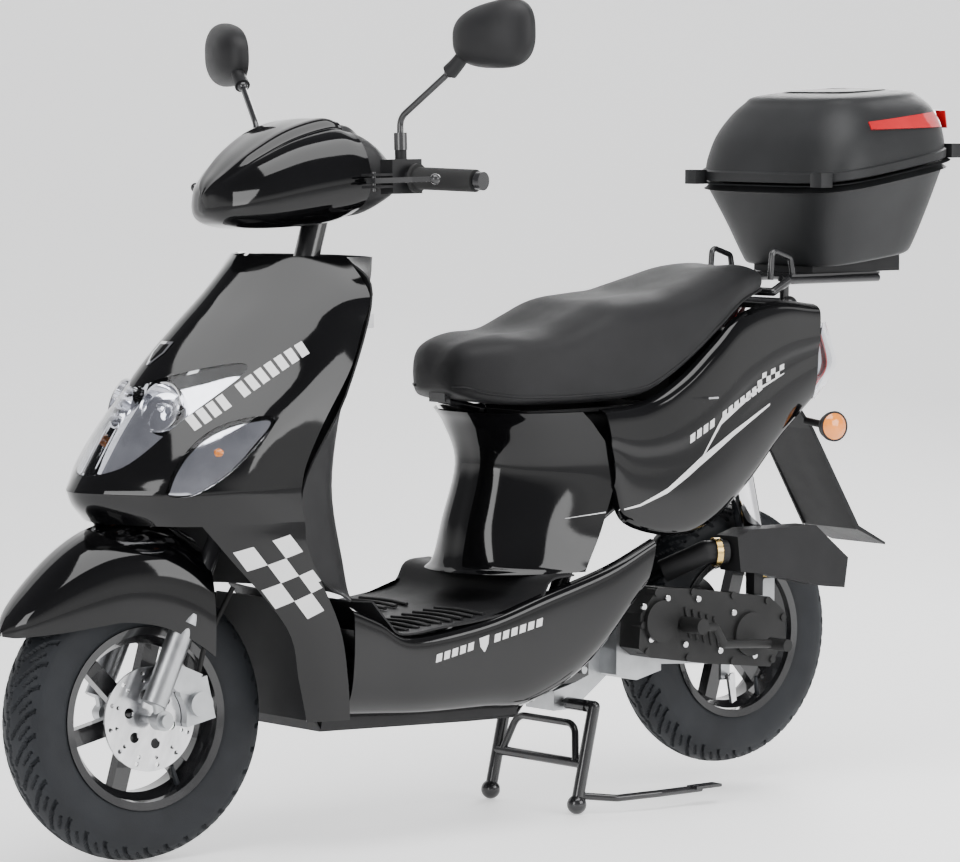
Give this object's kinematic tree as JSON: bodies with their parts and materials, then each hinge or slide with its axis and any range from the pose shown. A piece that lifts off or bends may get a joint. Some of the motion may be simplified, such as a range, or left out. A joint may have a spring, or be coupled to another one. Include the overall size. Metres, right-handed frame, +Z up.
{
  "type": "moped scooter",
  "caption": "Step-through moped scooter with steered fork, swing unit, centre stand, opening seat and a hinged top case on a rear rack.",
  "frame": {"origin": "bottom centre of the bounding box, on the ground", "axes": "+X forward, +Y to the rider's left, +Z up"},
  "size_m": [1.8707, 0.8624, 1.2926],
  "materials": {
    "alloy": "cast, satin",
    "amber_lens": "translucent amber",
    "case_black": "grained",
    "chrome": "polished",
    "clear_lens": "clear",
    "engine_black": "satin black",
    "frame_paint": "satin black",
    "gloss_black": "high gloss",
    "grip_rubber": "ribbed",
    "matte_black": "moulded grain",
    "red_lens": "translucent red",
    "rim_paint": "gloss black",
    "seat_cover": "matt grained cover",
    "steel": "bright",
    "tyre": "moulded tread"
  },
  "bodies": {
    "chassis": {"main_frame": "frame_paint", "front_apron": "gloss_black", "inner_leg_shield": "matte_black", "floor_board": "matte_black", "side_skirts": "gloss_black", "belly_cover": "matte_black", "seat_base_cover": "gloss_black", "tail_panels": "gloss_black", "headlight_reflector": "chrome", "headlight_lens": "clear_lens", "front_indicators": "clear_lens", "tail_light": "red_lens", "rear_mudguard": "matte_black", "rear_indicators": "amber_lens", "rear_rack": "frame_paint", "top_case_base": "case_black", "underseat_bucket": "matte_black", "fuel_tank": "matte_black", "body_screws": "chrome"},
    "steering": {"steering_stem": "frame_paint", "handlebar": "frame_paint", "front_fender": "gloss_black", "cowl_front": "gloss_black", "cowl_rear": "matte_black", "grip_left": "grip_rubber", "lever_perches": "matte_black", "mirror_stems": "frame_paint"},
    "fork_lower": {"fork_lower_legs": "alloy", "brake_caliper": "alloy", "brake_hose": "grip_rubber"},
    "front_wheel": {"front_rim": "rim_paint", "front_tyre": "tyre", "brake_disc": "steel"},
    "throttle": {"throttle_grip": "grip_rubber"},
    "lever_left": {"brake_lever_left": "frame_paint"},
    "lever_right": {"brake_lever_right": "frame_paint"},
    "starter": {"starter_button": "matte_black"},
    "horn": {"horn_button": "matte_black"},
    "indicator": {"indicator_switch": "matte_black"},
    "mirror_left": {"mirror_head_left": "matte_black"},
    "mirror_right": {"mirror_head_right": "matte_black"},
    "swing": {"crankcase": "alloy", "cvt_cover": "engine_black", "cylinder_head": "alloy", "airbox": "matte_black", "exhaust": "engine_black"},
    "rear_wheel": {"rear_rim": "rim_paint", "rear_tyre": "tyre"},
    "brake_arm": {"rear_brake_arm": "steel"},
    "kick": {"kick_lever": "engine_black"},
    "stand": {"centre_stand": "frame_paint"},
    "shock_body": {"shock_upper": "steel", "shock_spring": "chrome"},
    "shock_rod": {"shock_lower": "steel"},
    "seat_body": {"seat": "seat_cover"},
    "case_lid": {"top_case_lid": "case_black"},
    "case_key": {"case_lock_key": "chrome"},
    "seat_key": {"seat_lock_key": "chrome"},
    "key": {"ignition_key": "chrome"},
    "tank_cap": {"fuel_cap": "matte_black"}
  },
  "joints": [
    {"name": "steering", "type": "hinge", "parent": "chassis", "child": "steering", "pos_m": [0.6823, 0, 0.216], "axis": [-0.4384, 0, 0.8988], "range_deg": [-29.6, 40.4]},
    {"name": "fork", "type": "slide", "parent": "steering", "child": "fork_lower", "axis": [-0.4384, 0, 0.8988], "range_m": [0, 0.055], "stiffness_N_per_m": 9000, "springref_m": -0.03},
    {"name": "front_wheel_spin", "type": "hinge", "parent": "fork_lower", "child": "front_wheel", "pos_m": [0.71219, -0.00254, 0.21595], "axis": [0.0846, 0.9956, 0.0413], "continuous": true},
    {"name": "throttle_twist", "type": "hinge", "parent": "steering", "child": "throttle", "pos_m": [0.31067, -0.21615, 1.00673], "axis": [0.3666, 0.9251, 0.0986], "range_deg": [0, 75], "stiffness_Nm_per_rad": 0.3},
    {"name": "brake_left", "type": "hinge", "parent": "steering", "child": "lever_left", "pos_m": [0.40064, 0.18849, 1.01997], "axis": [-0.0017, -0.0413, 0.9991], "range_deg": [0, 13], "stiffness_Nm_per_rad": 3},
    {"name": "brake_right", "type": "hinge", "parent": "steering", "child": "lever_right", "pos_m": [0.36731, -0.20376, 1.00371], "axis": [0.0017, 0.0413, -0.9991], "range_deg": [0, 13], "stiffness_Nm_per_rad": 3},
    {"name": "starter_press", "type": "slide", "parent": "steering", "child": "starter", "axis": [0.9964, -0.0846, -0.0017], "range_m": [0, 0.003], "stiffness_N_per_m": 400},
    {"name": "horn_press", "type": "slide", "parent": "steering", "child": "horn", "axis": [0.9964, -0.0846, -0.0017], "range_m": [0, 0.003], "stiffness_N_per_m": 400},
    {"name": "indicator_slide", "type": "slide", "parent": "steering", "child": "indicator", "axis": [0.0846, 0.9956, 0.0413], "range_m": [-0.004, 0.004], "stiffness_N_per_m": 300},
    {"name": "mirror_tilt_left", "type": "hinge", "parent": "steering", "child": "mirror_left", "pos_m": [0.32601, 0.27544, 1.18356], "axis": [-0.0017, -0.0413, 0.9991], "range_deg": [-12, 12]},
    {"name": "mirror_tilt_right", "type": "hinge", "parent": "steering", "child": "mirror_right", "pos_m": [0.27797, -0.29004, 1.16013], "axis": [-0.0017, -0.0413, 0.9991], "range_deg": [-12, 12]},
    {"name": "swing_arm", "type": "hinge", "parent": "chassis", "child": "swing", "pos_m": [-0.1377, 0, 0.225], "axis": [0, 1, 0], "range_deg": [0, 7], "stiffness_Nm_per_rad": 3000, "springref_deg": -3.44},
    {"name": "rear_wheel_spin", "type": "hinge", "parent": "swing", "child": "rear_wheel", "pos_m": [-0.5077, 0, 0.252], "axis": [0, 1, 0], "continuous": true},
    {"name": "rear_brake", "type": "hinge", "parent": "swing", "child": "brake_arm", "pos_m": [-0.4517, 0.078, 0.19], "axis": [0, -1, 0], "range_deg": [0, 16]},
    {"name": "kick_start", "type": "hinge", "parent": "swing", "child": "kick", "pos_m": [-0.2867, 0.16, 0.295], "axis": [0, -1, 0], "range_deg": [0, 40], "stiffness_Nm_per_rad": 4},
    {"name": "stand_fold", "type": "hinge", "parent": "swing", "child": "stand", "pos_m": [-0.1267, 0, 0.17], "axis": [0, 1, 0], "range_deg": [0, 48]},
    {"name": "shock_swivel", "type": "hinge", "parent": "chassis", "child": "shock_body", "pos_m": [-0.4577, 0.072, 0.604], "axis": [0, 1, 0], "range_deg": [-2.13, 1]},
    {"name": "shock_stroke", "type": "slide", "parent": "shock_body", "child": "shock_rod", "axis": [0.2459, 0, 0.9693], "range_m": [0, 0.051], "deforming": ["shock_spring"]},
    {"name": "seat_open", "type": "hinge", "parent": "chassis", "child": "seat_body", "pos_m": [0.1103, 0, 0.668], "axis": [0, 1, 0], "range_deg": [0, 70]},
    {"name": "case_lid_open", "type": "hinge", "parent": "chassis", "child": "case_lid", "pos_m": [-0.5797, 0, 1], "axis": [0, 1, 0], "range_deg": [0, 70]},
    {"name": "case_lock_turn", "type": "hinge", "parent": "chassis", "child": "case_key", "pos_m": [-0.9077, 0, 1], "axis": [1, 0, 0], "range_deg": [0, 90]},
    {"name": "seat_lock_turn", "type": "hinge", "parent": "chassis", "child": "seat_key", "pos_m": [-0.3267, 0.13, 0.661], "axis": [0, 1, 0], "range_deg": [0, 90]},
    {"name": "ignition_turn", "type": "hinge", "parent": "chassis", "child": "key", "pos_m": [0.3423, 0.048, 0.8], "axis": [1, 0, 0], "range_deg": [0, 90]},
    {"name": "fuel_cap_turn", "type": "hinge", "parent": "chassis", "child": "tank_cap", "pos_m": [-0.4777, 0, 0.775], "axis": [0, 0, 1], "range_deg": [0, 90]}
  ],
  "couplings": [
    {"joint": "shock_swivel", "follows": "swing_arm", "ratio": -0.16156},
    {"joint": "shock_stroke", "follows": "swing_arm", "m_per_rad": 0.40127},
    {"joint": "rear_brake", "follows": "brake_left", "ratio": 1.2}
  ]
}
